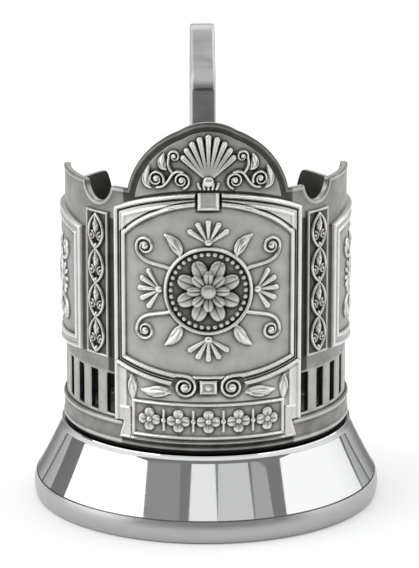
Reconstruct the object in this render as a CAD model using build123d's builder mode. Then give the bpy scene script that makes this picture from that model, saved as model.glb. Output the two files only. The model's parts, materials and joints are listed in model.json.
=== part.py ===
from build123d import *
import os
from math import cos, radians, sin, sqrt, tan

# Driving dimensions in millimetres and degrees.
# A rise is a height above the top of the foot. An angle runs round the cup axis from the front.

# Foot
foot_radius = 43.4
foot_height = 20.0
foot_wall = 0.9
waist_radius = 36.2
waist_step = 1.3
ring_height = 5.8
ring_width = 2.4
ring_chamfer = 0.5
ring_lip = 0.8
seat_thickness = 0.8
seat_clearance = 0.1
seat_rebate = 0.6
ledge_width = 3.5

# Sleeve and its rim
bore_radius = 33.5
sleeve_wall = 1.4
crest_rise = 82.3
crest_half_angle = 35.4
lobe_half = 7.0
lobe_drop = 2.1
crest_side_sagitta = 2.5
shoulder_rise = 65.0
notch_angle = 50.0
notch_radius = 4.9
notch_depth = 4.4
ogee_start_angle = 88.0
flank_angle = 110.0
flank_rise = 57.5
step_start_angle = 131.0
step_end_angle = 139.0
rear_rise = 50.0

# Pierced gallery
slot_width = 3.0
slot_margin = 0.8
slot_height = 10.0
first_slot_angle = 42.5
last_slot_angle = 164.7
slots_per_side = 13

# Ornament soldered to the sleeve
overlay_thickness = 0.6
relief_height = 0.5
band_rise = 0.9
band_height = 6.3
overlay_gap = 0.4
gallery_margin = 4.0
rim_margin = 2.0

# Flat sides of scroll eyes in the ornament
eye_sides = 8

# Front cartouche
front_half_angle = 39.5
front_low_sag = 2.2
front_head_drop = 4.4
front_crown = 5.0
frame_inset = 0.3
frame_width = 3.0
volute_radius = 2.3
volute_spread = 5.5
volute_gap = 0.2
volute_line = 0.8
tablet_width = 3.6
tablet_height = 4.2

# Motif of the front cartouche, and its size on the side cartouches as a share of that
motif_ring_radius = 11.0
motif_ring_sides = 16
motif_line = 1.1
rosette_radius = 8.0
rosette_petals = 8
rosette_petal_share = 0.45
palm_gap = 0.7
palm_length = 5.2
palm_width = 6.6
sprig_angle = 52.0
sprig_length = 7.4
sprig_width = 2.6
curl_spread = 15.2
curl_rise = 10.4
curl_radius = 2.3
side_motif_size = 0.78

# Crest ornament
crest_border = 2.0
petal_shoulder = 0.75
palmette_petals = 9
palmette_spread = 110.0
palmette_rise = 67.4
palmette_start = 1.8
palmette_length = 10.0
palmette_slump = 0.35
petal_width = 1.7
scroll_spreads = (6.4, 12.6)
scroll_rise = 68.2
scroll_radius = 1.9
scroll_line = 0.8

# Ribbon
ribbon_half_angle = 31.5
ribbon_overlap = 3.2
ribbon_height = 9.6
ribbon_thickness = 0.6
ribbon_border = 0.9
ribbon_ridge = 0.4
ribbon_studs = 5
ribbon_stud_pitch = 6.6
ribbon_stud_width = 3.0
ribbon_stud_height = 4.4
tail_half_angle = 38.0
tail_drop = 1.2
tail_height = 8.4
tail_notch = 1.4

# Side cartouches
side_angle = 95.0
side_half_angle = 36.0
side_low_sag = 1.4
side_crown = 2.2

# Pilasters between the panels
front_pilaster_angle = 49.2
rear_pilaster_angle = 141.5
pilaster_half_angle = 6.6
pilaster_pitch = 8.0
lozenge_width = 4.6
lozenge_height = 6.0

# Handle
handle_width = 6.5
handle_thickness = 2.6
handle_chamfer = 0.6
upper_pad_rise = 32.0
stem_rise = 52.0
thumb_rise = 77.2
thumb_setback = 4.6
grip_rise = 90.0
grip_setback = 27.0
limb_setback = 33.0
limb_rise = 68.0
elbow_setback = 29.0
elbow_rise = 34.0
heel_setback = 14.5
heel_rise = 18.4
foot_pad_rise = 15.2
bend_share = 0.45
thumb_bend = 4.0
grip_bend = 6.0
thumb_plate_reach = 17.3
thumb_plate_drop = 2.2
thumb_plate_width = 5.6
thumb_plate_thickness = 1.2

# Radii and heights that follow from the driving dimensions
sleeve_radius = bore_radius + sleeve_wall
plate_radius = sleeve_radius + overlay_thickness
relief_radius = plate_radius + relief_height
crest_top = foot_height + crest_rise
shoulder_top = foot_height + shoulder_rise
flank_top = foot_height + flank_rise
rear_top = foot_height + rear_rise
band_low = foot_height + band_rise
band_top = band_low + band_height
slot_low = band_top + slot_margin
panel_low = slot_low + slot_height + gallery_margin
reach = 2 * foot_radius


def facing(angle):
    """Upright plane through the cup axis that looks outward at an angle from the front."""
    turn = radians(angle)
    return Plane(origin=(0, 0, 0), x_dir=(cos(turn), sin(turn), 0), z_dir=(sin(turn), -cos(turn), 0))


def span(angle):
    """Half width, seen square on, of ornament that reaches to an angle on the sleeve."""
    return plate_radius * sin(radians(angle))


def wrapped(outline, inner, outer):
    """Solid between two radii on the front of the sleeve, with its outline drawn as seen square on."""
    with BuildPart() as curved:
        with BuildSketch(facing(0)):
            add(outline)
        extrude(amount=reach)
        with BuildSketch(Plane.XY):
            Circle(outer)
            Circle(inner, mode=Mode.SUBTRACT)
        extrude(amount=crest_top, mode=Mode.INTERSECT)
    return curved.part


def arched_panel(half_width, low, low_sag, high, crown):
    """Panel face with upright sides, a sagging foot and a crowned head."""
    with BuildSketch() as panel:
        with BuildLine():
            Line((-half_width, low), (-half_width, high))
            ThreePointArc((-half_width, high), (0, high + crown), (half_width, high))
            Line((half_width, high), (half_width, low))
            ThreePointArc((half_width, low), (0, low - low_sag), (-half_width, low))
        make_face()
    return panel.sketch


def moulding(panel):
    """Raised frame that follows the edge of a panel."""
    with BuildSketch() as frame:
        offset(panel, amount=-frame_inset)
        offset(panel, amount=-frame_inset - frame_width, mode=Mode.SUBTRACT)
    return frame.sketch


def ring_face(radius, line, sides):
    """Flat-sided ring about the origin."""
    with BuildSketch() as ring:
        RegularPolygon(radius, sides)
        RegularPolygon(radius - line, sides, mode=Mode.SUBTRACT)
    return ring.sketch


def petal_face(length, width):
    """Petal that widens along X from its pointed root at the origin."""
    shoulder, half_width = petal_shoulder * length, width / 2
    with BuildSketch() as petal:
        with BuildLine():
            Polyline((0, 0), (shoulder, half_width), (length, 0), (shoulder, -half_width), close=True)
        make_face()
    return petal.sketch


def lozenge_face(width, height):
    """Upright diamond about the origin."""
    with BuildSketch() as lozenge:
        with BuildLine():
            Polyline((width / 2, 0), (0, height / 2), (-width / 2, 0), (0, -height / 2), close=True)
        make_face()
    return lozenge.sketch


def rosette_face(radius):
    """Rosette of pointed petals about the origin."""
    with BuildSketch() as rosette:
        with PolarLocations(radius / 2, rosette_petals):
            add(lozenge_face(radius, rosette_petal_share * radius))
    return rosette.sketch


def motif_face(size):
    """Rosette in a ring, with palmettes on four sides, and sprigs and curls in the corners."""
    ring_radius = size * motif_ring_radius
    with BuildSketch() as motif:
        add(ring_face(ring_radius, motif_line, motif_ring_sides))
        add(rosette_face(size * rosette_radius))
        with PolarLocations(ring_radius + palm_gap, 4):
            add(petal_face(size * palm_length, size * palm_width))
        for angle in (sprig_angle, 180 - sprig_angle, 180 + sprig_angle, -sprig_angle):
            with PolarLocations(ring_radius + size * sprig_length / 2 - motif_line, 1, angle):
                add(lozenge_face(size * sprig_length, size * sprig_width))
        with GridLocations(2 * size * curl_spread, 2 * size * curl_rise, 2, 2):
            RegularPolygon(size * curl_radius, eye_sides)
    return motif.sketch


def crest_face():
    """Three-lobed crest outline, from the foot of the panels up to the crest's top."""
    half_width = bore_radius * sin(radians(crest_half_angle))
    lobe_end = crest_top - lobe_drop
    with BuildSketch() as crest:
        with BuildLine():
            Polyline(
                (-half_width, shoulder_top),
                (-half_width, panel_low),
                (half_width, panel_low),
                (half_width, shoulder_top),
            )
            SagittaArc((half_width, shoulder_top), (lobe_half, lobe_end), -crest_side_sagitta)
            ThreePointArc((lobe_half, lobe_end), (0, crest_top), (-lobe_half, lobe_end))
            SagittaArc((-lobe_half, lobe_end), (-half_width, shoulder_top), -crest_side_sagitta)
        make_face()
    return crest.sketch


# Foot ring with an eased upper edge
with BuildPart() as foot_ring:
    with BuildSketch(Plane.XY):
        Circle(foot_radius)
        Circle(foot_radius - ring_width, mode=Mode.SUBTRACT)
    extrude(amount=ring_height)
    chamfer(foot_ring.edges().group_by(Axis.Z)[-1].sort_by(SortBy.RADIUS)[-1], length=ring_chamfer)

# Flared foot shell, which stands on the ring and carries the seat on a rebated ledge
flare_foot_radius = foot_radius - ring_lip
seat_low = foot_height - seat_thickness
ledge_low = seat_low - foot_wall
rebate_radius = bore_radius - seat_rebate
ledge_inner = rebate_radius - ledge_width

with BuildPart() as foot_skirt:
    with BuildSketch(Plane.XZ):
        with BuildLine():
            Polyline(
                (waist_radius, foot_height),
                (waist_radius, foot_height - waist_step),
                (flare_foot_radius, ring_height),
                (flare_foot_radius - foot_wall, ring_height),
                (waist_radius - foot_wall, ledge_low),
                (ledge_inner, ledge_low),
                (ledge_inner, seat_low),
                (rebate_radius, seat_low),
                (rebate_radius, foot_height),
                close=True,
            )
        make_face()
    revolve(axis=Axis.Z)

# Seat disc for the glass
seat_radius = rebate_radius - seat_clearance

with BuildPart() as glass_seat:
    with BuildSketch(Plane.XY.offset(seat_low)):
        Circle(seat_radius)
    extrude(amount=seat_thickness)

# Sleeve: a tube whose rim is shaped from the side, notched, crested and pierced
crest_back = -bore_radius * cos(radians(crest_half_angle))
ogee_start = -sleeve_radius * cos(radians(ogee_start_angle))
flank_start = -sleeve_radius * cos(radians(flank_angle))
step_start = -sleeve_radius * cos(radians(step_start_angle))
step_end = -sleeve_radius * cos(radians(step_end_angle))
slot_pitch = (last_slot_angle - first_slot_angle) / (slots_per_side - 1)
slot_root = bore_radius * cos(radians(slot_pitch))
slot_angles = [first_slot_angle + slot_pitch * count for count in range(slots_per_side)]
slot_faces = [facing(side * angle).offset(slot_root) for angle in slot_angles for side in (1, -1)]

with BuildPart() as sleeve:
    with BuildSketch(Plane.XY.offset(foot_height)):
        Circle(sleeve_radius)
        Circle(bore_radius, mode=Mode.SUBTRACT)
    extrude(amount=crest_rise)
    with BuildSketch(Plane.YZ):
        with BuildLine():
            Polyline(
                (crest_back, reach + crest_top),
                (crest_back, shoulder_top),
                (ogee_start, shoulder_top),
            )
            Bezier(
                (ogee_start, shoulder_top),
                ((ogee_start + flank_start) / 2, shoulder_top),
                ((ogee_start + flank_start) / 2, flank_top),
                (flank_start, flank_top),
            )
            Line((flank_start, flank_top), (step_start, flank_top))
            Bezier(
                (step_start, flank_top),
                ((step_start + step_end) / 2, flank_top),
                ((step_start + step_end) / 2, rear_top),
                (step_end, rear_top),
            )
            Polyline(
                (step_end, rear_top),
                (reach, rear_top),
                (reach, reach + crest_top),
                (crest_back, reach + crest_top),
            )
        make_face()
    extrude(amount=reach, both=True, mode=Mode.SUBTRACT)
    with BuildSketch(facing(0).offset(-crest_back)):
        with Locations((0, shoulder_top)):
            Rectangle(reach, reach, align=(Align.CENTER, Align.MIN))
        add(crest_face(), mode=Mode.SUBTRACT)
    extrude(amount=reach, mode=Mode.SUBTRACT)
    with BuildSketch(facing(notch_angle), facing(-notch_angle)):
        with Locations((0, shoulder_top - notch_depth + notch_radius)):
            Circle(notch_radius)
    extrude(amount=reach, mode=Mode.SUBTRACT)
    with BuildSketch(*slot_faces):
        with Locations((0, slot_low)):
            Rectangle(slot_width, slot_height, align=(Align.CENTER, Align.MIN))
    extrude(amount=reach, mode=Mode.SUBTRACT)

# Plain band round the bottom of the sleeve
with BuildPart() as lower_band:
    with BuildSketch(Plane.XY.offset(band_low)):
        Circle(plate_radius)
        Circle(sleeve_radius, mode=Mode.SUBTRACT)
    extrude(amount=band_height)

# Front cartouche: a framed field with a rosette motif, above an apron with two volutes and a tablet
front_half_width = span(front_half_angle)
front_high = shoulder_top - front_head_drop
front_centre = (panel_low + front_high) / 2
volute_height = panel_low - front_low_sag - volute_gap - volute_radius
front_panel = arched_panel(front_half_width, panel_low, front_low_sag, front_high, front_crown)

with BuildSketch() as front_outline:
    add(front_panel)
    with Locations((0, band_top)):
        Rectangle(2 * front_half_width, front_high - band_top, align=(Align.CENTER, Align.MIN))

with BuildSketch() as front_relief:
    add(moulding(front_panel))
    with Locations((0, front_centre)):
        add(motif_face(1))
    with Locations((-volute_spread, volute_height), (volute_spread, volute_height)):
        add(ring_face(volute_radius, volute_line, eye_sides))
    with Locations((0, volute_height)):
        Rectangle(tablet_width, tablet_height)

with BuildPart() as front_cartouche:
    add(wrapped(front_outline.sketch, sleeve_radius, plate_radius))
    add(wrapped(front_relief.sketch, sleeve_radius, relief_radius))

# Crest ornament: a palmette between pairs of scrolls, inside the plain border of the crest
with BuildSketch() as crest_outline:
    offset(crest_face(), amount=-crest_border)
    offset(front_panel, amount=overlay_gap, mode=Mode.SUBTRACT)

with BuildSketch() as crest_relief:
    with Locations((0, foot_height + palmette_rise)):
        for count in range(palmette_petals):
            turn_share = 2 * count / (palmette_petals - 1) - 1
            petal_reach = palmette_length * (1 - palmette_slump * abs(turn_share))
            with PolarLocations(palmette_start, 1, 90 + palmette_spread / 2 * turn_share):
                add(petal_face(petal_reach, petal_width))
    scroll_height = foot_height + scroll_rise
    with Locations(*[(side * spread, scroll_height) for spread in scroll_spreads for side in (1, -1)]):
        add(ring_face(scroll_radius, scroll_line, eye_sides))

with BuildPart() as front_crest:
    add(wrapped(crest_outline.sketch, sleeve_radius, plate_radius))
    add(wrapped(crest_relief.sketch, sleeve_radius, relief_radius))

# Ribbon across the apron, with raised borders, a row of lozenges and notched tails
ribbon_low = band_top - ribbon_overlap
ribbon_half_width = span(ribbon_half_angle)
tail_half_width = span(tail_half_angle)
tail_low = ribbon_low - tail_drop
ribbon_radius = plate_radius + ribbon_thickness
ribbon_field_width = 2 * (ribbon_half_width - ribbon_border)
ribbon_centre = ribbon_low + ribbon_height / 2

with BuildSketch() as ribbon_outline:
    with Locations((0, ribbon_centre)):
        Rectangle(2 * ribbon_half_width, ribbon_height)
    with BuildLine():
        Polyline(
            (-tail_half_width, tail_low),
            (tail_half_width, tail_low),
            (tail_half_width - tail_notch, tail_low + tail_height / 2),
            (tail_half_width, tail_low + tail_height),
            (-tail_half_width, tail_low + tail_height),
            (-tail_half_width + tail_notch, tail_low + tail_height / 2),
            close=True,
        )
    make_face()

with BuildSketch() as ribbon_relief:
    with Locations((0, ribbon_centre)):
        Rectangle(2 * ribbon_half_width, ribbon_height)
        Rectangle(ribbon_field_width, ribbon_height - 2 * ribbon_border, mode=Mode.SUBTRACT)
        with GridLocations(ribbon_stud_pitch, 0, ribbon_studs, 1):
            add(lozenge_face(ribbon_stud_width, ribbon_stud_height))

with BuildPart() as front_ribbon:
    add(wrapped(ribbon_outline.sketch, plate_radius, ribbon_radius))
    add(wrapped(ribbon_relief.sketch, plate_radius, ribbon_radius + ribbon_ridge))

# Framed side cartouches, each with a smaller rosette motif
side_high = flank_top - rim_margin - side_crown
side_panel = arched_panel(span(side_half_angle), panel_low, side_low_sag, side_high, side_crown)

with BuildSketch() as side_relief:
    add(moulding(side_panel))
    with Locations((0, (panel_low + side_high) / 2)):
        add(motif_face(side_motif_size))

with BuildPart() as side_cartouche:
    add(wrapped(side_panel, sleeve_radius, plate_radius))
    add(wrapped(side_relief.sketch, sleeve_radius, relief_radius))

side_cartouches = {}
for name, angle in (("left_cartouche", -side_angle), ("right_cartouche", side_angle)):
    with BuildPart() as side_cartouches[name]:
        with Locations(Rotation(0, 0, angle)):
            add(side_cartouche.part)


def pilaster(high):
    """Strip on the front of the sleeve up to a height, with a row of lozenges."""
    height = high - panel_low
    lozenges = int(height / pilaster_pitch)
    with BuildSketch() as strip:
        with Locations((0, panel_low + height / 2)):
            Rectangle(2 * span(pilaster_half_angle), height)
    with BuildSketch() as row:
        with Locations((0, panel_low + height / 2)):
            with GridLocations(0, pilaster_pitch, 1, lozenges):
                add(lozenge_face(lozenge_width, lozenge_height))
    with BuildPart() as upright:
        add(wrapped(strip.sketch, sleeve_radius, plate_radius))
        add(wrapped(row.sketch, sleeve_radius, relief_radius))
    return upright.part


# Filigree pilasters on both sides of the side cartouches
front_pilaster = pilaster(shoulder_top - notch_depth - rim_margin)
rear_pilaster = pilaster(rear_top - rim_margin)
pilasters = {}
for name, angle, upright in (
    ("front_left_pilaster", -front_pilaster_angle, front_pilaster),
    ("front_right_pilaster", front_pilaster_angle, front_pilaster),
    ("rear_left_pilaster", -rear_pilaster_angle, rear_pilaster),
    ("rear_right_pilaster", rear_pilaster_angle, rear_pilaster),
):
    with BuildPart() as pilasters[name]:
        with Locations(Rotation(0, 0, angle)):
            add(upright)


def easy_bend(before, corner, after):
    """Radius that rounds a corner of the handle over most of the shorter of its two runs."""
    arriving = Vector(*corner) - Vector(*before)
    leaving = Vector(*after) - Vector(*corner)
    half_turn = radians(arriving.get_angle(leaving)) / 2
    return bend_share * min(arriving.length, leaving.length) / tan(half_turn)


# Strap handle: a bent flat bar whose two pads lie on the back of the sleeve
pad_line = sqrt(sleeve_radius**2 - (handle_width / 2) ** 2) + handle_thickness / 2
thumb_corner = (pad_line + thumb_setback, foot_height + thumb_rise)
grip_corner = (pad_line + grip_setback, foot_height + grip_rise)

handle_route = [
    (pad_line, foot_height + upper_pad_rise),
    (pad_line, foot_height + stem_rise),
    thumb_corner,
    grip_corner,
    (pad_line + limb_setback, foot_height + limb_rise),
    (pad_line + elbow_setback, foot_height + elbow_rise),
    (pad_line + heel_setback, foot_height + heel_rise),
    (pad_line, foot_height + foot_pad_rise),
    (pad_line, band_top + overlay_gap + handle_thickness / 2),
]
handle_bends = [easy_bend(*handle_route[start : start + 3]) for start in range(len(handle_route) - 2)]
handle_bends[1] = thumb_bend
handle_bends[2] = grip_bend

with BuildPart() as handle:
    with BuildSketch(Plane.YZ):
        with BuildLine():
            FilletPolyline(*handle_route, radius=handle_bends)
            offset(amount=handle_thickness / 2, side=Side.BOTH)
        make_face()
    extrude(amount=handle_width / 2, both=True)
    cheeks = handle.faces().filter_by(Axis.X)
    chamfer(cheeks.edges(), length=handle_chamfer)
    with BuildSketch(Plane.XY):
        Circle(sleeve_radius)
    extrude(amount=crest_top, mode=Mode.SUBTRACT)

# Thumb plate, which lies on the slope of the handle and folds over the bend at its foot
thumb_point = Vector(*thumb_corner)
stem = (thumb_point - Vector(*handle_route[1])).normalized()
slope = (Vector(*grip_corner) - thumb_point).normalized()
stem_normal, slope_normal = Vector(-stem.Y, stem.X), Vector(-slope.Y, slope.X)
corner_normal = (stem_normal + slope_normal) / (1 + stem_normal.dot(slope_normal))


def over_thumb(rise):
    """Line at a rise above the middle of the strap, from the stem over the bend to the slope."""
    return FilletPolyline(
        thumb_point - stem * thumb_plate_drop + stem_normal * rise,
        thumb_point + corner_normal * rise,
        thumb_point + slope * thumb_plate_reach + slope_normal * rise,
        radius=thumb_bend + rise,
    )


with BuildPart() as thumb_plate:
    with BuildSketch(Plane.YZ):
        with BuildLine():
            under = over_thumb(handle_thickness / 2)
            over = over_thumb(handle_thickness / 2 + thumb_plate_thickness)
            Line(under @ 0, over @ 0)
            Line(under @ 1, over @ 1)
        make_face()
    extrude(amount=thumb_plate_width / 2, both=True)
    upper_end = Axis((0, 0, 0), (0, slope_normal.X, slope_normal.Y))
    fillet(thumb_plate.edges().filter_by(upper_end), radius=thumb_plate_width / 3)

os.makedirs("parts", exist_ok=True)
pieces = {
    "foot_ring": foot_ring,
    "foot_skirt": foot_skirt,
    "glass_seat": glass_seat,
    "sleeve": sleeve,
    "lower_band": lower_band,
    "front_cartouche": front_cartouche,
    "front_crest": front_crest,
    "front_ribbon": front_ribbon,
    **side_cartouches,
    **pilasters,
    "handle": handle,
    "thumb_plate": thumb_plate,
}
for name, piece in pieces.items():
    piece.part.label = name
    export_step(piece.part, f"parts/{name}.step")
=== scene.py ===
import json
from math import acos, ceil, cos, pi, radians, sin, sqrt, tan

import bpy
import numpy as np
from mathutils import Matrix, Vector
from mathutils.geometry import delaunay_2d_cdt


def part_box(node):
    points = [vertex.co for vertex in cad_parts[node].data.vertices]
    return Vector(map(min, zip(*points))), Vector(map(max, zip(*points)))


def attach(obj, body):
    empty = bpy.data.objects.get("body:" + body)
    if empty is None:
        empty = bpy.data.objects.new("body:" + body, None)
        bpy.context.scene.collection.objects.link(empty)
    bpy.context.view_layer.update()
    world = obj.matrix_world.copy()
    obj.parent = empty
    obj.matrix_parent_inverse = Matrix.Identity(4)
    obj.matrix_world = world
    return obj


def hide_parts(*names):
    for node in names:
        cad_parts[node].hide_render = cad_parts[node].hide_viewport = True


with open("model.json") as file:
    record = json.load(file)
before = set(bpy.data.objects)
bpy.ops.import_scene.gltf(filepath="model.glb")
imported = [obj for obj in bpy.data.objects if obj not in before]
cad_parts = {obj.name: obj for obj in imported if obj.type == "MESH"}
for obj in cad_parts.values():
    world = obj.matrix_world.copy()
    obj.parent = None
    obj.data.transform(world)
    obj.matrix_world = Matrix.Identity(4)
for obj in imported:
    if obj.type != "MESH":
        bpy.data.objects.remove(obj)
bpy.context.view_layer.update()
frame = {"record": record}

# Sizes of the holder are in millimetres and degrees. Angles run round the cup axis from the front.
MM = 0.001

# Radii of the wall and the ornament on it, depth that plates sink in, and gap between neighbours
bore = next(mount for mount in frame["record"]["mounts"] if mount["name"] == "glass_bore")
BORE = bore["dims"]["r_mm"]
SLEEVE = BORE + 1.4
PLATE = SLEEVE + 0.6
RIBBON = PLATE + 0.6
SEAM = 0.03
OVERLAY_GAP = 0.4

# Heights of the wall
FOOT_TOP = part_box("sleeve")[0].z / MM
CREST_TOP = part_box("sleeve")[1].z / MM
SHOULDER = FOOT_TOP + 65.0
FLANK = FOOT_TOP + 57.5
REAR = FOOT_TOP + 50.0
BAND_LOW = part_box("lower_band")[0].z / MM
BAND_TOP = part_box("lower_band")[1].z / MM
SLOT_LOW = BAND_TOP + 0.8
SLOT_HIGH = SLOT_LOW + 10.0
PANEL_LOW = SLOT_HIGH + 4.0

# Grid steps of the panels, the small ornament, the plain rings and the backs of pieces
FINE = 0.17
LACE = 0.13
COARSE = 0.3
BACK = 3.0

# Of the rows in a plain span, one in so many is kept
PLAIN_ROWS = 6

# Rounding of outlines, ramp of levels and tones, and distances that count as on an outline and as nothing
EDGE = 0.32
EASE = 0.35
SNAP = 1e-3
TINY = 1e-6

# Tones run from 0, worn bright, to 1, black. These are for backs, dark with tarnish and painted shade, for
# rims, and for the sides of slots, painted near black as shade.
BACK_TARNISH_AND_SHADE, RIM_TONE, SLOT_SHADE_TONE = 0.74, 0.45, 0.88

# Angles over which an edge shows as sharp, on turned rings, straps and relief
TURNED_SHARP, STRAP_SHARP, RELIEF_SHARP = 38, 50, 75


def arc(angle, radius=PLATE):
    """Length along a cylinder that an angle in degrees spans."""
    return radians(angle) * radius


# Routes: rows of points along the wall and up it


def bezier(a, b, c, d, count=14):
    """Cubic curve with ends a and d, as points."""
    t = np.linspace(0, 1, count)[:, None]
    a, b, c, d = (np.array(point, float) for point in (a, b, c, d))
    return (1 - t) ** 3 * a + 3 * (1 - t) ** 2 * t * b + 3 * (1 - t) * t**2 * c + t**3 * d


def placed(curve, height, side):
    """Cubic curve from its four points, raised by a height and mirrored where side is -1."""
    return (bezier(*curve) + (0, height)) * (side, 1)


def spiral(centre, radius, start, turns, inner=0.22, count=40):
    """Volute that winds in from a start angle; negative turns run clockwise."""
    t = np.linspace(0, 1, count)
    angle = radians(start) + 2 * pi * turns * t
    reach = radius * (1 - (1 - inner) * t)
    return np.stack((centre[0] + reach * np.cos(angle), centre[1] + reach * np.sin(angle)), 1)


# Signed distances, negative inside

# Crest: half its width, half width and drop of its middle lobe, and bulge of its flanks
CREST_HALF, CREST_LOBE, CREST_DROP, CREST_BULGE = 19.4, 7.0, 2.1, 2.5


def arc_radius(half, bulge):
    """Radius of an arc from half its chord and its bulge."""
    return (half**2 + bulge**2) / (2 * bulge)


def arched_panel(s, z, half, low, sag, high, crown):
    """Panel with upright sides, a sagging foot and a crowned head."""
    head, foot = arc_radius(half, crown), arc_radius(half, sag)
    head_gap = np.hypot(s, z - (high + crown - head)) - head
    foot_gap = np.hypot(s, z - (low - sag + foot)) - foot
    return np.maximum(np.abs(s) - half, np.maximum(head_gap, foot_gap))


def rectangle(s, z, half, low, high):
    """Rectangle about the middle line."""
    return np.maximum(np.abs(s) - half, np.abs(z - (low + high) / 2) - (high - low) / 2)


def crest_dome(x, z):
    """Three-lobed crest, from its square-on width and height."""
    middle = arc_radius(CREST_LOBE, CREST_DROP)
    chord = np.array((CREST_HALF - CREST_LOBE, SHOULDER - CREST_TOP + CREST_DROP))
    length = np.hypot(*chord)
    side = arc_radius(length / 2, CREST_BULGE)
    normal = np.array((-chord[1], chord[0])) / length
    centre = np.array((CREST_LOBE, CREST_TOP - CREST_DROP)) + chord / 2 - normal * (side - CREST_BULGE)
    lobe_gap = np.hypot(x, z - CREST_TOP + middle) - middle
    side_gap = np.hypot(np.abs(x) - centre[0], z - centre[1]) - side
    return np.minimum(lobe_gap, side_gap)


# Relief

# Profiles of ribs, leaves, petals, flowers and volutes, mostly as shares of their sizes
RIB_POWER = 1.2
LEAF_SPAN, LEAF_SKEW, LEAF_FULLNESS = (0.02, 0.995), 0.7, 0.65
LEAF_LEAST, LEAF_ENDS, LEAF_ROUND = 0.02, 0.45, 0.8
LOBE_DEPTH, LOBE_FULLNESS = 0.2, 0.7
HOLLOW_DEPTH, HOLLOW_HALF, HOLLOW_SLANT = 0.3, 0.14, 0.9
VEIN_RISE, VEIN_HALF, GUTTER_DEPTH, GUTTER_OFF = 0.22, 0.24, 0.12, 0.5
PETAL_ROOT, CREASE_DEPTH, CREASE_HALF = 0.55, 0.28, 0.3
CLEFT_DEPTH, CLEFT_POWER = 0.42, 2.4
FLOWER_HEART, FLOWER_ROUND, FLOWER_LIP = 0.35, 0.6, 4
FLOWER_VEIN, FLOWER_VEIN_HALF = 0.22, 0.16
VOLUTE_TAPER, EYE_SIZE, EYE_RISE = 0.35, 0.36, 1.15

# Recesses darken by their depth under what is within a reach, and high spots wear bright
RECESSES = ((0.35, 1.3), (1.1, 0.65))
WEAR = 0.12


def blur(field, cells):
    """Field averaged three times over a square of an odd number of cells."""
    reach = cells // 2
    for axis in (0, 1) * 3:
        pad = [(reach + 1, reach) if a == axis else (0, 0) for a in (0, 1)]
        total = np.cumsum(np.pad(field, pad, mode="edge"), axis)
        count = field.shape[axis]
        ahead = np.take(total, range(cells, cells + count), axis)
        field = (ahead - np.take(total, range(count), axis)) / cells
    return field


def rib(q):
    """Soft profile that is 1 in the middle and 0 from -1 and 1 outwards."""
    return np.clip(np.cos(np.clip(q, -1, 1) * pi / 2) - TINY, 0, 1) ** RIB_POWER


def dome(q):
    """Round profile that is 1 in the middle and falls steeply to 0 at -1 and 1."""
    return np.sqrt(np.clip(1 - q**2, 0, 1))


def bell(offset, half):
    """Smooth bump that is 1 in the middle and fades out past a half width."""
    return np.exp(-((offset / half) ** 2))


def within(gap):
    """Share that is 1 inside an outline and 0 outside, with a ramp across it."""
    return np.clip(0.5 - gap / EASE, 0, 1)


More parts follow.
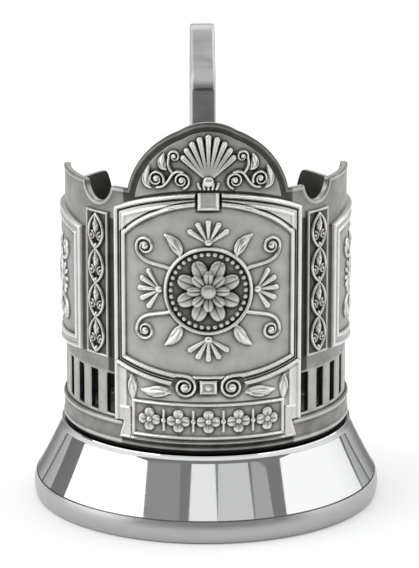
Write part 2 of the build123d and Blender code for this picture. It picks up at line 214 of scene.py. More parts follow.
class Relief:
    """Height field on a patch of the cup wall, with a tone that is dark in recesses."""

    def __init__(self, half, low, high, step, tone, closed=False, plain=(0, 0)):
        self.across = np.linspace(-half, half, int(2 * half / step) + 1, endpoint=not closed)
        rows = np.linspace(low, high, int((high - low) / step) + 1)
        kept = (rows < plain[0]) | (rows > plain[1])
        kept[::PLAIN_ROWS] = True
        self.up = rows[kept]
        self.s, self.z = np.meshgrid(self.across, self.up)
        self.height = np.zeros_like(self.s)
        self.tone = np.full_like(self.s, tone)
        self.step = step

    def near(self, points, margin):
        """Part of the grid that holds some points and a margin round them."""
        low, high = np.min(points, 0) - margin, np.max(points, 0) + margin
        columns = slice(*np.searchsorted(self.across, (low[0], high[0])))
        rows = slice(*np.searchsorted(self.up, (low[1], high[1])))
        return rows, columns

    def along(self, points, margin):
        """Share run along a route, and distance to its left, for the grid near it."""
        points = np.array(points, float)
        part = self.near(points, margin)
        s, z = self.s[part], self.z[part]
        steps = np.diff(points, axis=0)
        lengths = np.hypot(*steps.T)
        run = np.concatenate(([0], np.cumsum(lengths)))
        near = np.full(s.shape, np.inf)
        share, side = np.zeros(s.shape), np.ones(s.shape)
        for start, step, length, before in zip(points, steps, lengths, run):
            ds, dz = s - start[0], z - start[1]
            t = np.clip((ds * step[0] + dz * step[1]) / length**2, 0, 1)
            gap = np.hypot(ds - t * step[0], dz - t * step[1])
            closer = gap < near
            near = np.where(closer, gap, near)
            share = np.where(closer, (before + t * length) / run[-1], share)
            side = np.where(closer, np.sign(step[0] * dz - step[1] * ds), side)
        return part, share, near * side

    def tint(self, gap, tone):
        """Gives the tone inside an outline."""
        self.tone += (tone - self.tone) * within(gap)

    def level(self, gap, height):
        """Moves the field inside an outline to a height."""
        self.height += (height - self.height) * within(gap)

    def lift(self, part, shape, base=0.0):
        """Raises a part of the field to a shape that stands on a base."""
        old = self.height[part]
        self.height[part] = np.where(shape > 0, np.maximum(old, base + shape), old)

    def stroke(self, points, width, height, taper=0.0):
        """Round rib, which loses a share of its width by the end."""
        part, share, off = self.along(points, width)
        left = 1 - taper * share
        self.lift(part, height * np.sqrt(left) * rib(off / (width * left)))

    def leaf(self, points, width, height, lobes):
        """Leaf with lobed edges, a midrib and slanting hollows."""
        part, share, off = self.along(points, width)
        body = np.sin(np.pi * np.clip(share, *LEAF_SPAN) ** LEAF_SKEW) ** LEAF_FULLNESS
        lobe = np.sin(np.pi * ((lobes * share) % 1)) ** LOBE_FULLNESS
        half = np.maximum(width * body * (1 - LOBE_DEPTH + LOBE_DEPTH * lobe), LEAF_LEAST)
        bulge = dome(off / half)
        slant = (lobes * share - HOLLOW_SLANT * (np.abs(off) / width)) % 1
        hollow = 1 - HOLLOW_DEPTH * bell(np.minimum(slant, 1 - slant), HOLLOW_HALF)
        vein = VEIN_RISE * bell(off, VEIN_HALF) - GUTTER_DEPTH * bell(np.abs(off) - GUTTER_OFF, VEIN_HALF)
        swell = height * (LEAF_ENDS + (1 - LEAF_ENDS) * body)
        self.lift(part, swell * (bulge**LEAF_ROUND * hollow + vein * (bulge > 0)))

    def petal(self, root, tip, root_half, tip_half, height):
        """Round petal that swells towards its tip, with a line along the middle."""
        part, share, off = self.along((root, tip), max(root_half, tip_half) + self.step)
        q = np.abs(off) / (root_half + (tip_half - root_half) * share)
        swell = height * (PETAL_ROOT + (1 - PETAL_ROOT) * share) * dome(q)
        self.lift(part, swell * (1 - CREASE_DEPTH * bell(q, CREASE_HALF)))

    def bead(self, centre, radius, height, base=0.0):
        """Round boss."""
        part = self.near([centre], radius)
        gap = np.hypot(self.s[part] - centre[0], self.z[part] - centre[1])
        self.lift(part, height * dome(gap / radius), base)

    def rosette(self, centre, radius, petals, height, turn=0.0, base=0.0):
        """Flower of hollow petals about a centre."""
        part = self.near([centre], radius)
        ds, dz = self.s[part] - centre[0], self.z[part] - centre[1]
        reach = np.hypot(ds, dz)
        sector = ((np.arctan2(dz, ds) - radians(turn)) * petals / (2 * pi)) % 1 - 0.5
        outline = radius * (1 - CLEFT_DEPTH * np.abs(2 * sector) ** CLEFT_POWER)
        q = np.clip(reach / outline, 0, 1)
        hollow = FLOWER_HEART + (1 - FLOWER_HEART) * q
        shape = dome(2 * sector) ** FLOWER_ROUND * hollow * dome(q**FLOWER_LIP)
        vein = FLOWER_VEIN * bell(reach * np.sin(sector * 2 * pi / petals), FLOWER_VEIN_HALF)
        self.lift(part, height * (shape - vein * (shape > 0)), base)

    def volute(self, centre, side, radius, start, turns, width, height):
        """Rib that winds in to a boss, mirrored where side is -1."""
        start = start if side > 0 else 180 - start
        self.stroke(spiral(centre, radius, start, side * turns), width, height, VOLUTE_TAPER)
        self.bead(centre, EYE_SIZE * radius, EYE_RISE * height)

    def ridge(self, gap, middle, half, height, base=0.0):
        """Round rib at a distance from an outline."""
        self.lift(np.s_[:], height * rib((gap - middle) / half), base)

    def groove(self, gap, middle, half, depth, tone):
        """Blackened channel at a distance from an outline."""
        shape = rib((gap - middle) / half)
        self.height -= depth * shape
        self.tone += (tone - self.tone) * shape

    def patina_and_shade(self):
        """Tone of each point: 0 on worn high spots, 1 in deep recesses, over tints some of which are painted
        shade.
        """
        tone = self.tone - WEAR * self.height
        for reach, weight in RECESSES:
            tone += weight * (blur(self.height, 2 * round(reach / self.step) + 1) - self.height)
        return np.clip(tone, 0, 1)


# Materials

# Greys of the antiqued metal by tone, and the share of blue in them
TARNISH = ((0.0, 0.72), (0.28, 0.5), (0.5, 0.3), (0.72, 0.09), (0.95, 0.012))
TARNISH_BLUE = 0.975


def metal(name, colour, roughness):
    """Principled metal, with its node tree and its shader."""
    material = bpy.data.materials.new(name)
    material.use_nodes = True
    tree = material.node_tree
    shader = tree.nodes["Principled BSDF"]
    shader.inputs["Base Color"].default_value = (*colour, 1)
    shader.inputs["Metallic"].default_value = 1.0
    shader.inputs["Roughness"].default_value = roughness
    return material, tree, shader


def noise(tree, scale, detail, stretch=None):
    """Noise in object space, pressed flat along an axis where stretch says so."""
    coordinates = tree.nodes.new("ShaderNodeTexCoord")
    texture = tree.nodes.new("ShaderNodeTexNoise")
    texture.inputs["Scale"].default_value = scale
    texture.inputs["Detail"].default_value = detail
    source = coordinates.outputs["Object"]
    if stretch:
        mapping = tree.nodes.new("ShaderNodeMapping")
        mapping.inputs["Scale"].default_value = stretch
        tree.links.new(source, mapping.inputs["Vector"])
        source = mapping.outputs["Vector"]
    tree.links.new(source, texture.inputs["Vector"])
    return texture.outputs["Fac"]


def spread(tree, value, source, target):
    """Value moved from one range to another."""
    node = tree.nodes.new("ShaderNodeMapRange")
    for socket, number in zip(("From Min", "From Max", "To Min", "To Max"), (*source, *target)):
        node.inputs[socket].default_value = number
    tree.links.new(value, node.inputs["Value"])
    return node.outputs["Result"]


def bump(tree, shader, value, depth):
    """Bumps a shader's surface by a value."""
    node = tree.nodes.new("ShaderNodeBump")
    node.inputs["Distance"].default_value = depth * MM
    tree.links.new(value, node.inputs["Height"])
    tree.links.new(node.outputs["Normal"], shader.inputs["Normal"])


def antiqued_metal():
    """Worn bright on the high spots, grey on the flats, black in the recesses and dark where the tone holds
    painted shade.
    """
    material, tree, shader = metal("antiqued_metal", colour=(0.36, 0.36, 0.35), roughness=0.4)
    # Tone attribute, which holds patina and painted shade
    tone = tree.nodes.new("ShaderNodeAttribute")
    tone.attribute_name = "patina_and_shade"
    blotch = spread(tree, noise(tree, scale=260.0, detail=4.0), source=(0.3, 0.7), target=(-0.045, 0.045))
    total = tree.nodes.new("ShaderNodeMath")
    tree.links.new(tone.outputs["Fac"], total.inputs[0])
    tree.links.new(blotch, total.inputs[1])
    ramp = tree.nodes.new("ShaderNodeValToRGB")
    stops = ramp.color_ramp.elements
    for position, _ in TARNISH[1:-1]:
        stops.new(position)
    for stop, (position, grey) in zip(stops, TARNISH):
        stop.position = position
        stop.color = (grey, grey, TARNISH_BLUE * grey, 1)
    tree.links.new(total.outputs[0], ramp.inputs["Fac"])
    tree.links.new(ramp.outputs["Color"], shader.inputs["Base Color"])
    roughness = spread(tree, total.outputs[0], source=(0.1, 0.9), target=(0.26, 0.5))
    tree.links.new(roughness, shader.inputs["Roughness"])
    bump(tree, shader, noise(tree, scale=1800.0, detail=3.0), depth=0.05)
    return material


def polished_metal():
    """Mirror polish with faint wiping marks."""
    material, tree, shader = metal("polished_metal", colour=(0.64, 0.64, 0.645), roughness=0.05)
    shader.inputs["Specular Tint"].default_value = (0.25, 0.25, 0.25, 1)
    wiping = noise(tree, scale=90.0, detail=5.0, stretch=(1, 1, 6))
    roughness = spread(tree, wiping, source=(0.4, 0.75), target=(0.035, 0.075))
    tree.links.new(roughness, shader.inputs["Roughness"])
    return material


def satin_metal():
    """Fine satin finish, brushed along the edge."""
    material, tree, shader = metal("satin_metal", colour=(0.45, 0.45, 0.45), roughness=0.32)
    brushing = noise(tree, scale=160.0, detail=5.0, stretch=(1, 1, 5))
    roughness = spread(tree, brushing, source=(0.3, 0.7), target=(0.27, 0.4))
    tree.links.new(roughness, shader.inputs["Roughness"])
    bump(tree, shader, noise(tree, scale=2400.0, detail=2.0, stretch=(0.15, 0.15, 1)), depth=0.02)
    return material


FINISHES = {
    "antiqued_metal": antiqued_metal(),
    "polished_metal": polished_metal(),
    "satin_metal": satin_metal(),
}

# Meshes

# Points round a turned ring, and size of the disc that a wall is laid out on
RING_SEGMENTS = 288
LAYOUT_DISC = 100.0


def linked(name, data):
    """New object in the scene."""
    item = bpy.data.objects.new(name, data)
    bpy.context.collection.objects.link(item)
    return item


def new_piece(name, points, faces, slot, sharp, tone=None):
    """Object from points in millimetres and arrays of faces, which replaces the CAD node of its name."""
    mesh = bpy.data.meshes.new(name)
    corners = np.concatenate([np.asarray(group).ravel() for group in faces]).astype(np.int32)
    counts = np.concatenate([np.full(len(group), np.asarray(group).shape[1]) for group in faces])
    mesh.vertices.add(len(points))
    mesh.vertices.foreach_set("co", (np.asarray(points, float) * MM).ravel())
    mesh.loops.add(len(corners))
    mesh.loops.foreach_set("vertex_index", corners)
    mesh.polygons.add(len(counts))
    mesh.polygons.foreach_set("loop_start", (np.cumsum(counts) - counts).astype(np.int32))
    if tone is not None:
        # Tone per corner: patina of the metal, and painted shade in gaps, grooves, slot sides and backs
        mesh.attributes.new("patina_and_shade", "FLOAT", "CORNER").data.foreach_set("value", tone)
    mesh.update(calc_edges=True)
    mesh.validate()
    mesh.shade_smooth()
    mesh.set_sharp_from_angle(angle=radians(sharp))
    mesh.materials.append(FINISHES[slot])
    piece = linked(name, mesh)
    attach(piece, "root")
    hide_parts(name)


def clipped_grid(inside, closed):
    """Faces of a grid where a field is negative, and the points where its outline cuts grid edges.

    A cut point is given by two grid points and the share of the way between them.
    """
    rows, columns = inside.shape
    depth = np.where(np.abs(inside) < SNAP, -SNAP, inside).ravel()
    index = np.arange(rows * columns).reshape(rows, columns)
    right = np.roll(index, -1, 1) if closed else index[:, 1:]
    left = index if closed else index[:, :-1]
    cells = np.stack((left[:-1], right[:-1], right[1:], left[1:]), -1).reshape(-1, 4)
    held = (depth[cells] < 0).sum(1)
    cuts, ends, polygons = {}, [], {3: [], 4: [], 5: []}
    for cell in cells[(held > 0) & (held < 4)]:
        outline = []
        for a, b in zip(cell, np.roll(cell, -1)):
            if depth[a] < 0:
                outline.append(a)
            if (depth[a] < 0) != (depth[b] < 0):
                key = (min(a, b), max(a, b))
                if key not in cuts:
                    cuts[key] = rows * columns + len(ends)
                    ends.append((*key, depth[key[0]] / (depth[key[0]] - depth[key[1]])))
                outline.append(cuts[key])
        polygons.setdefault(len(outline), []).append(outline)
    groups = [cells[held == 4]] + [np.array(group) for group in polygons.values() if group]
    return groups, np.array(ends).reshape(-1, 3)


def rim_edges(groups):
    """Edges that only one face has, in that face's direction."""
    edges = [np.stack((group, np.roll(group, -1, 1)), -1).reshape(-1, 2) for group in groups]
    edges = np.concatenate(edges).astype(np.int64)
    size = edges.max() + 1
    return edges[~np.isin(edges[:, 0] * size + edges[:, 1], edges[:, 1] * size + edges[:, 0])]


def back_sheet(s, z, rim, radius):
    """Triangles between rim edges that have the sheet on their left.

    The wall is laid out as a disc round the cup axis, so that a whole ring of it closes on itself.
    """
    reach = LAYOUT_DISC * np.exp((z - z.mean()) / radius)
    disc = np.stack((reach * np.cos(s / radius), -reach * np.sin(s / radius)), 1)
    triangles = delaunay_2d_cdt([Vector(point) for point in disc.tolist()], rim.tolist(), [], 0, TINY)[2]
    owner = {}
    for index, triangle in enumerate(triangles):
        for edge in zip(triangle, triangle[1:] + triangle[:1]):
            owner[edge] = index
    walls = set(map(tuple, rim.tolist()))
    waiting = [owner[edge] for edge in walls]
    kept = set(waiting)
    while waiting:
        triangle = triangles[waiting.pop()]
        for a, b in zip(triangle, triangle[1:] + triangle[:1]):
            beside = owner.get((b, a))
            if (a, b) not in walls and beside is not None and beside not in kept:
                kept.add(beside)
                waiting.append(beside)
    return np.array([triangles[index] for index in sorted(kept)])


def wall_piece(name, relief, inside, centre=0.0, inner=SLEEVE - SEAM, outer=PLATE, closed=False):
    """Shell on the cup wall between an inner radius and a relief that stands on an outer radius."""
    groups, ends = clipped_grid(inside, closed)
    first, second, share = ends[:, 0].astype(int), ends[:, 1].astype(int), ends[:, 2]

    def with_cuts(field):
        flat = field.ravel()
        return np.concatenate((flat, flat[first] + (flat[second] - flat[first]) * share))

    s, z = with_cuts(relief.s), with_cuts(relief.z)
    if closed:
        start, end = relief.s.ravel()[first], relief.s.ravel()[second]
        across_seam = np.abs(end - start) > outer
        s[relief.s.size :][across_seam] = np.maximum(end, start)[across_seam]
    rest = np.clip(1 + np.concatenate((inside.ravel(), np.zeros(len(ends)))) / EDGE, 0, 1)
    height = with_cuts(relief.height) - EDGE * (1 - dome(rest))
    tone = with_cuts(relief.patina_and_shade())
    used = np.unique(np.concatenate([group.ravel() for group in groups]))
    renumber = np.zeros(len(s), int)
    renumber[used] = np.arange(len(used))
    groups = [renumber[group] for group in groups]
    s, z, height, tone = (field[used] for field in (s, z, height, tone))

    def layer(s, z, radius):
        angle = radians(centre) + s / outer
        return np.stack((radius * np.sin(angle), -radius * np.cos(angle), z), 1)

    count = len(s)
    rim = rim_edges(groups)
    stride = round(BACK / relief.step)
    lattice = (slice(stride // 2, None, stride),) * 2
    deep = inside[lattice] < -BACK / 2
    back_s = np.concatenate((s[rim[:, 0]], relief.s[lattice][deep]))
    back_z = np.concatenate((z[rim[:, 0]], relief.z[lattice][deep]))
    behind = np.zeros(count, int)
    behind[rim[:, 0]] = np.arange(len(rim))
    back = back_sheet(back_s, back_z, behind[rim], outer)
    points = np.concatenate((layer(s, z, outer + height), layer(back_s, back_z, inner)))
    side = np.stack((rim[:, 1], rim[:, 0], behind[rim[:, 0]] + count, behind[rim[:, 1]] + count), 1)
    faces = groups + [back[:, ::-1] + count, side]
    tones = [tone[group].ravel() for group in groups]
    # Sides of cuts low enough to be slots are painted near black as shade; other rims keep a worn tone
    side_tone = np.repeat(np.where(z[rim[:, 0]] < SLOT_HIGH + EDGE, SLOT_SHADE_TONE, RIM_TONE), 4)
    # Backs, the inside of the cup among them, take a dark tone that is tarnish and painted shade
    tones = np.concatenate((*tones, np.full(back.size, BACK_TARNISH_AND_SHADE), side_tone))
    new_piece(name, points, faces, "antiqued_metal", RELIEF_SHARP, tones)


def lathe(name, profile, slot, segments=RING_SEGMENTS):
    """Closed ring from a profile of radius and height, which runs anticlockwise."""
    profile = np.array(profile, float)
    turn = np.linspace(0, 2 * pi, segments, endpoint=False)[:, None]
    radius, height = profile[:, 0], np.broadcast_to(profile[:, 1], (segments, len(profile)))
    points = np.stack((radius * np.sin(turn), -radius * np.cos(turn), height), -1).reshape(-1, 3)
    index = np.arange(segments * len(profile)).reshape(segments, -1)
    ahead, up = np.roll(index, -1, 0), np.roll(index, -1, 1)
    faces = np.stack((index, ahead, np.roll(ahead, -1, 1), up), -1).reshape(-1, 4)
    new_piece(name, points, [faces], slot, TURNED_SHARP)


# Foot ring, with insets and depths of the groove that the skirt stands over
ring_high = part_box("foot_ring")[1]
RING_RADIUS, RING_TOP = ring_high.x / MM, ring_high.z / MM
RING_WIDTH, RING_CROWN, RING_LIP, RING_EASE, RING_FOOT = 2.4, 0.5, 0.25, 0.2, 0.9
RING_GROOVE = ((0.65, 0.25), (0.95, 1.0), (1.15, 0.0))


def foot_ring():
    """Ring with a crowned outside."""
    inner, middle = RING_RADIUS - RING_WIDTH, RING_TOP / 2
    t = np.linspace(-1, 1, 17)
    crowned = np.stack((RING_RADIUS - RING_CROWN * t**2, middle + (middle - RING_LIP) * t), 1)
    profile = [(inner + RING_EASE, 0), (RING_RADIUS - RING_FOOT, 0), *crowned]
    profile += [(RING_RADIUS - inset, RING_TOP - depth) for inset, depth in RING_GROOVE]
    profile += [(inner + RING_EASE, RING_TOP), (inner, RING_TOP - RING_EASE), (inner, RING_EASE)]
    lathe("foot_ring", profile, "satin_metal")


# Foot skirt and the seat that it carries
seat_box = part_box("glass_seat")
SEAT_RADIUS, SEAT_LOW, SEAT_TOP = seat_box[1].x / MM, seat_box[0].z / MM, seat_box[1].z / MM
SEAT_PLAY, SEAT_EASE, SEAT_CENTRE, SEAT_SEGMENTS = 0.1, 0.15, 0.02, 192
SEAT_GROOVES, GROOVE_HALF, GROOVE_DEPTH = (29.0, 22.0, 12.0), 0.7, 0.3
WAIST, WAIST_STEP, WAIST_EASE = 36.2, 1.3, 0.25
FLARE_FOOT, FLARE_HOLLOW = RING_RADIUS - 0.8, 0.15
SKIRT_WALL, LEDGE = 0.9, 3.5


def foot_skirt():
    """Flared shell with a rebated ledge inside its top."""
    t = np.linspace(0, 1, 25)
    radius = FLARE_FOOT + (WAIST - FLARE_FOOT) * t - 4 * FLARE_HOLLOW * t * (1 - t)
    height = RING_TOP + (FOOT_TOP - WAIST_STEP - RING_TOP) * t
    rebate, ledge_low = SEAT_RADIUS + SEAT_PLAY, SEAT_LOW - SKIRT_WALL
    profile = [*np.stack((radius, height), 1), (WAIST, FOOT_TOP - WAIST_EASE)]
    profile += [(WAIST - WAIST_EASE, FOOT_TOP), (rebate, FOOT_TOP), (rebate, SEAT_LOW)]
    profile += [(rebate - LEDGE, SEAT_LOW), (rebate - LEDGE, ledge_low)]
    profile += [(WAIST - SKIRT_WALL, ledge_low), (FLARE_FOOT - SKIRT_WALL, RING_TOP)]
    lathe("foot_skirt", profile, "polished_metal")


def glass_seat():
    """Disc with grooves round its top."""
    profile = [(SEAT_CENTRE, SEAT_LOW), (SEAT_RADIUS - SEAT_EASE, SEAT_LOW)]
    profile += [(SEAT_RADIUS, SEAT_LOW + SEAT_EASE), (SEAT_RADIUS, SEAT_TOP - SEAT_EASE)]
    profile += [(SEAT_RADIUS - SEAT_EASE, SEAT_TOP)]
    t = np.linspace(-1, 1, 9)
    for groove in SEAT_GROOVES:
        profile += [*np.stack((groove - GROOVE_HALF * t, SEAT_TOP - GROOVE_DEPTH * (1 - t**2) ** 2), 1)]
    profile += [(SEAT_CENTRE, SEAT_TOP)]
    lathe("glass_seat", profile, "satin_metal", SEAT_SEGMENTS)


foot_ring()
foot_skirt()
glass_seat()

# Sleeve. A border is a distance from an outline, a half width and a height.
CREST_EDGE = arc(35.4, SLEEVE)
RIM_STEPS = (88.0, 110.0, 131.0, 139.0)
RIM_BORDER = (0.6, 0.5, 0.16)
NOTCH_ANGLE, NOTCH_RADIUS, NOTCH_DEPTH = 50.0, 4.9, 4.4
SLOT_ANGLES, SLOT_HALF = np.linspace(42.5, 164.7, 13), 1.5
PLAIN_WALL = (SLOT_HIGH + 2.0, REAR - 4.0)
WALL_TONE = 0.56
CREST_GROUND, CREST_GROUND_TONE = SHOULDER - 4, 0.78
# Painted shade on the wall in the narrow gap between the front cartouche and the front pilasters
JOINT_ANGLE, JOINT_HALF, JOINT_HIGH, JOINT_SHADE_TONE = 41.1, 1.6, SHOULDER - 8, 0.82
GALLERY_HALF, GALLERY_TONE = 5.6, 0.42
# Wall below the lower band is painted near black as the shade in the groove over the foot
FOOT_SEAM, FOOT_SEAM_SHADE = BAND_LOW + 0.4, 0.98


def eased(place, start, end, high, low):
    """Height of an S-shaped step between two places."""
    t = np.linspace(0, 1, 60)
    middle = (start + end) / 2
    run = start * (1 - t) ** 3 + 3 * middle * t * (1 - t) + end * t**3
    return np.interp(place, run, high + (low - high) * t**2 * (3 - 2 * t))


def rim_height(angle):
    """Top of the wall beside the crest, at angles in radians."""
    depth = -SLEEVE * np.cos(angle)
    places = [-SLEEVE * cos(radians(place)) for place in RIM_STEPS]
    high = eased(depth, *places[:2], SHOULDER, FLANK)
    return np.where(depth > places[2], eased(depth, *places[2:], FLANK, REAR), high)


def sleeve():
    """Wall with a crest, a notch on each side of it, a stepped rim and a row of slots."""
    wall = Relief(pi * SLEEVE, FOOT_TOP, CREST_TOP + COARSE, COARSE, WALL_TONE, True, PLAIN_WALL)
    angle, side = wall.s / SLEEVE, np.abs(wall.s)
    rim_gap = wall.z - rim_height(angle)
    crest_gap = crest_dome(SLEEVE * np.sin(angle), wall.z)
    inside = np.where(side < CREST_EDGE, np.minimum(rim_gap, crest_gap), rim_gap)
    notch_height = SHOULDER - NOTCH_DEPTH + NOTCH_RADIUS
    notch_gap = np.hypot(side - arc(NOTCH_ANGLE, SLEEVE), wall.z - notch_height) - NOTCH_RADIUS
    inside = np.maximum(inside, -notch_gap)
    wall.tint(np.maximum(side - CREST_EDGE, CREST_GROUND - wall.z), CREST_GROUND_TONE)
    # Painted shade in the gap between the front cartouche and each front pilaster
    joint_off = side - arc(JOINT_ANGLE, SLEEVE)
    wall.tint(rectangle(joint_off, wall.z, JOINT_HALF, SLOT_HIGH, JOINT_HIGH), JOINT_SHADE_TONE)
    wall.tint(np.abs(wall.z - (SLOT_LOW + SLOT_HIGH) / 2) - GALLERY_HALF, GALLERY_TONE)
    # Painted shade in the groove between the lower band and the foot
    wall.tint(wall.z - FOOT_SEAM, FOOT_SEAM_SHADE)
    wall.ridge(-inside, *RIM_BORDER)
    for place in SLOT_ANGLES:
        slot_gap = rectangle(side - arc(place, SLEEVE), wall.z, SLOT_HALF, SLOT_LOW, SLOT_HIGH)
        inside = np.maximum(inside, -slot_gap)
    inside = np.maximum(inside, FOOT_TOP - wall.z)
    wall_piece("sleeve", wall, inside, inner=BORE, outer=SLEEVE, closed=True)


# Band round the bottom of the sleeve, with painted shadow on its front under the ribbon
BAND_BORDER, BAND_LIP = (0.8, 0.6, 0.25), 0.01
BAND_FRONT, BAND_SHADE_TONE = arc(36), 0.8


def lower_band():
    """Ring with a border along both edges."""
    band = Relief(pi * PLATE, BAND_LOW, BAND_TOP, COARSE, WALL_TONE, True)
    gap = np.minimum(band.z - BAND_LOW, BAND_TOP - band.z)
    # Painted shadow of the ribbon on the front of the band
    band.tint(np.abs(band.s) - BAND_FRONT, BAND_SHADE_TONE)
    band.ridge(gap, *BAND_BORDER)
    wall_piece("lower_band", band, -gap - BAND_LIP, closed=True)


sleeve()
lower_band()

# Motif of the cartouches, in sizes of the front one. A rib is a half width, a height and perhaps a taper.
MOTIF_RING, MOTIF_RIB, MOTIF_TONE = 10.45, (0.6, 0.6), 0.6
BEADS, BEAD_RING, BEAD, BEAD_RISE = 36, 9.1, 0.56, 0.42
PETALS, ROSETTE, ROSETTE_RISE = 8, 8.0, 0.8
HEART, HEART_RISE, HEART_BASE = 5.2, 0.85, 0.2
BOSS, BOSS_RISE, BOSS_BASE = 1.8, 0.55, 0.6
PALM_LEANS, PALM_ROOT, PALM_REACH = (-56, -28, 0, 28, 56), 11.7, 5.2
PALM_STALK, PALM_TIP, PALM_RISE = 0.25, 0.72, 0.65
PALM_EYE, PALM_EYE_OUT = 0.9, 0.3
SPRIG_ANGLE, SPRIG_ROOT, SPRIG_TIP, SPRIG_PULL, SPRIG_BOW = 52.0, 11.0, 17.4, 2.0, (-0.8, 0.6)
SPRIG_HALF, SPRIG_RISE = 1.4, 0.7
CURL, CURL_RADIUS, CURL_TURNS, CURL_RIB = (15.6, 10.4), 2.3, 1.6, (0.5, 0.62)
CURL_STEM = ((9.4, 5.4), (12.0, 6.4), (17.7, 5.8), (CURL[0] + CURL_RADIUS, CURL[1]))
CURL_STEM_RIB = (0.6, 0.6, 0.1)


def motif(relief, middle, size):
    """Rosette in a beaded ring, with palmettes on four sides and sprigs and curls in the corners."""
    centre = np.array((0, middle))
    for turn in np.radians((0, 90, 180, 270)):
        along = np.array((cos(turn), sin(turn)))
        across = np.array((-sin(turn), cos(turn)))
        root = along * size * PALM_ROOT + centre
        for lean in np.radians(PALM_LEANS):
            heading = along * cos(lean) + across * sin(lean)
            tip = root + heading * size * PALM_REACH
            relief.petal(root + heading, tip, PALM_STALK, PALM_TIP * size, PALM_RISE)
        relief.bead(root + along * PALM_EYE_OUT, PALM_EYE, PALM_RISE)
    lean = radians(SPRIG_ANGLE)
    heading = np.array((cos(lean), sin(lean)))
    sprig = [heading * SPRIG_ROOT, heading * (SPRIG_ROOT + SPRIG_PULL) + SPRIG_BOW]
    sprig += [heading * (SPRIG_TIP - SPRIG_PULL) + SPRIG_BOW, heading * SPRIG_TIP]
    for side in (1, -1):
        for rise in (1, -1):
            corner = np.array((side, rise)) * size
            relief.leaf(bezier(*sprig) * corner + centre, SPRIG_HALF * size, SPRIG_RISE, 1)
            relief.stroke(bezier(*CURL_STEM) * corner + centre, *CURL_STEM_RIB)
            relief.volute(CURL * corner + centre, side, CURL_RADIUS * size, 0, rise * CURL_TURNS, *CURL_RIB)
    reach = np.hypot(relief.s, relief.z - middle)
    relief.ridge(reach, MOTIF_RING * size, *MOTIF_RIB)
    relief.tint(reach - MOTIF_RING * size, MOTIF_TONE)
    for turn in np.linspace(0, 2 * pi, BEADS, endpoint=False):
        place = BEAD_RING * size * np.array((sin(turn), cos(turn)))
        relief.bead(place + centre, BEAD * size, BEAD_RISE)
    relief.rosette(centre, ROSETTE * size, PETALS, ROSETTE_RISE)
    relief.rosette(centre, HEART * size, PETALS, HEART_RISE, 180 / PETALS, HEART_BASE)
    relief.bead(centre, BOSS * size, BOSS_RISE, BOSS_BASE)


# Front cartouche: a framed field above an apron with volutes
FRONT_HALF, FRONT_HIGH, FRONT_CROWN, FRONT_TONE = arc(39.5), SHOULDER - 4.4, 5.0, 0.41
FRAME_LOW, FRAME_SAG, FRAME_WIDTH, FRAME_STEP = PANEL_LOW - 0.4, 5.0, 3.4, 0.28
FIELD_HALF, FIELD_HIGH, FIELD_CROWN = FRONT_HALF - FRAME_WIDTH, FRONT_HIGH - 6.6, 8.2
FRAME_TONE, STRIP_TONE, STRIP_INNER = 0.18, 0.2, FIELD_HALF - 0.2
FRAME_BORDER = (0.75, 0.55, 0.5)
FRAME_LINE, FRAME_LINE_RISE = 0.5, 0.42
OUTER_CHANNEL, INNER_CHANNEL, CHANNEL = 1.55, 1.3, (0.3, 0.15, 0.85)
KEY_HALF, KEY_HEIGHT, KEY_STEP, KEY_TONE = 2.6, 4.4, FRAME_STEP + 0.3, 0.48
KEY_BORDER, KEY_SHADOW, KEY_SHADOW_LEVEL = (0.5, 0.4, 0.25), 0.5, -0.1

# Apron, with heights above its volutes. A volute is a radius, a start angle, turns and a rib. A leaf is four
# points of a curve, a half width, a height and a number of lobes. A bead is a radius and a height.
APRON_TOP, APRON_SIDE_TOP, APRON_TONE = PANEL_LOW + 4, PANEL_LOW + 1, 0.33
VOLUTE_S, VOLUTE_Z, VOLUTE_RADIUS, VOLUTE_RIB = 5.7, PANEL_LOW - 4.7, 2.8, (0.58, 0.7)
VOLUTE = (VOLUTE_RADIUS, 90, 1.9, *VOLUTE_RIB)
VOLUTE_LEAD = ((10.4, 3.15), (8.6, 2.9), (7.2, 2.9), (VOLUTE_S, VOLUTE_RADIUS))
NEST_MARGIN, NEST_LOW, NEST_HIGH, NEST_TONE = 0.5, 2.6, 2.2, 0.46
APRON_LEAVES = (
    (((9.3, -1.6), (11.6, -0.9), (13.6, -2.4), (16.9, -1.4)), 1.5, 0.7, 1),
    (((19.4, 1.6), (18.7, -0.4), (19.8, -2.2), (18.6, -4.7)), 1.3, 0.7, 1),
)
TABLET_HALF, TABLET_RISE, TABLET_STEP, TABLET_BORDER = 2.1, 1.7, 0.4, (0.4, 0.4, 0.25)
TABLET_BEAD = (0.8, 0.35)


def front_panel(s, z):
    """Outline of the front frame."""
    return arched_panel(s, z, FRONT_HALF, FRAME_LOW, FRAME_SAG, FRONT_HIGH, FRONT_CROWN)


def front_frame(front, panel_gap, field_gap):
    """Raised frame with lines and channels, and strips that run down both sides of the apron."""
    side = np.abs(front.s)
    front.tint(-panel_gap, APRON_TONE)
    frame_gap = np.maximum(panel_gap, -field_gap)
    strip_gap = np.maximum(-panel_gap, STRIP_INNER - side)
    for gap, tone in ((frame_gap, FRAME_TONE), (strip_gap, STRIP_TONE)):
        front.level(gap, FRAME_STEP)
        front.tint(gap, tone)
    front.ridge(-panel_gap, *FRAME_BORDER, FRAME_STEP)
    front.ridge(field_gap, FRAME_LINE, FRAME_LINE, FRAME_LINE_RISE, FRAME_STEP)
    front.ridge(-panel_gap, FRAME_WIDTH - FRAME_LINE, FRAME_LINE, FRAME_LINE_RISE, FRAME_STEP)
    front.groove(np.where(field_gap > 0, -panel_gap, 0), OUTER_CHANNEL, *CHANNEL)
    front.groove(np.where(panel_gap < 0, field_gap, 0), INNER_CHANNEL, *CHANNEL)
    front.ridge(np.where(front.z < APRON_SIDE_TOP, FRONT_HALF - side, 0), *FRAME_BORDER, FRAME_STEP)


